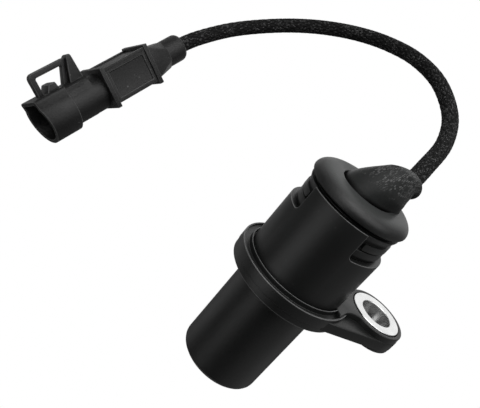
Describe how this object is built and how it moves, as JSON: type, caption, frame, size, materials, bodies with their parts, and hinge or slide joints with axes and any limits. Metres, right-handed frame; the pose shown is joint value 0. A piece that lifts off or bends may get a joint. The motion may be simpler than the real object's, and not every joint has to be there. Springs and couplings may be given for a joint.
{
  "type": "crankshaft position sensor",
  "caption": "Flanged inductive sensor head with a round nose, a bushed fixing lug and a rubber boot, wired by a short braided lead to a latched plug; reads a toothed wheel on an engine.",
  "frame": {"origin": "centre of the flange's mounting face, on the axis of the nose", "axes": "+Z along the nose axis towards the boot and lead, +X from the axis to the fixing hole"},
  "size_m": [0.0905, 0.0734, 0.0704],
  "materials": {
    "housing_plastic": "satin moulded glass-filled nylon",
    "bushing_steel": "bright turned and plated steel",
    "boot_rubber": "matt moulded rubber with fine moulding specks",
    "lead_braid": "black braided sleeve with pale flecks",
    "plug_plastic": "satin moulded nylon, lightly grained",
    "bobbin_plastic": "plain moulded nylon",
    "coil_copper": "enamelled copper wire",
    "pole_iron": "soft iron, turned",
    "magnet_ceramic": "sintered magnet, matt",
    "contact_brass": "tinned brass",
    "splice_tin": "tinned crimp",
    "potting_resin": "cured black resin",
    "seal_rubber": "soft seal rubber",
    "core_jacket": "smooth insulated wire"
  },
  "bodies": {
    "root": {"sensor_housing": "housing_plastic", "lug_bushing": "bushing_steel", "pole_piece": "pole_iron", "coil_bobbin": "bobbin_plastic", "coil_winding": "coil_copper", "bar_magnet": "magnet_ceramic", "magnet_carrier": "bobbin_plastic", "blade_left": "contact_brass", "blade_right": "contact_brass", "potting_fill": "potting_resin", "seal_disc": "seal_rubber", "splice_left": "splice_tin", "splice_right": "splice_tin", "core_left": "core_jacket", "core_right": "core_jacket", "boot_retainer": "housing_plastic", "cable_boot": "boot_rubber", "lead_cable": "lead_braid", "plug_shell": "plug_plastic", "wire_seal": "seal_rubber", "contact_left": "contact_brass", "contact_right": "contact_brass", "contact_lock": "bobbin_plastic", "tail_left": "core_jacket", "tail_right": "core_jacket"}
  },
  "joints": []
}
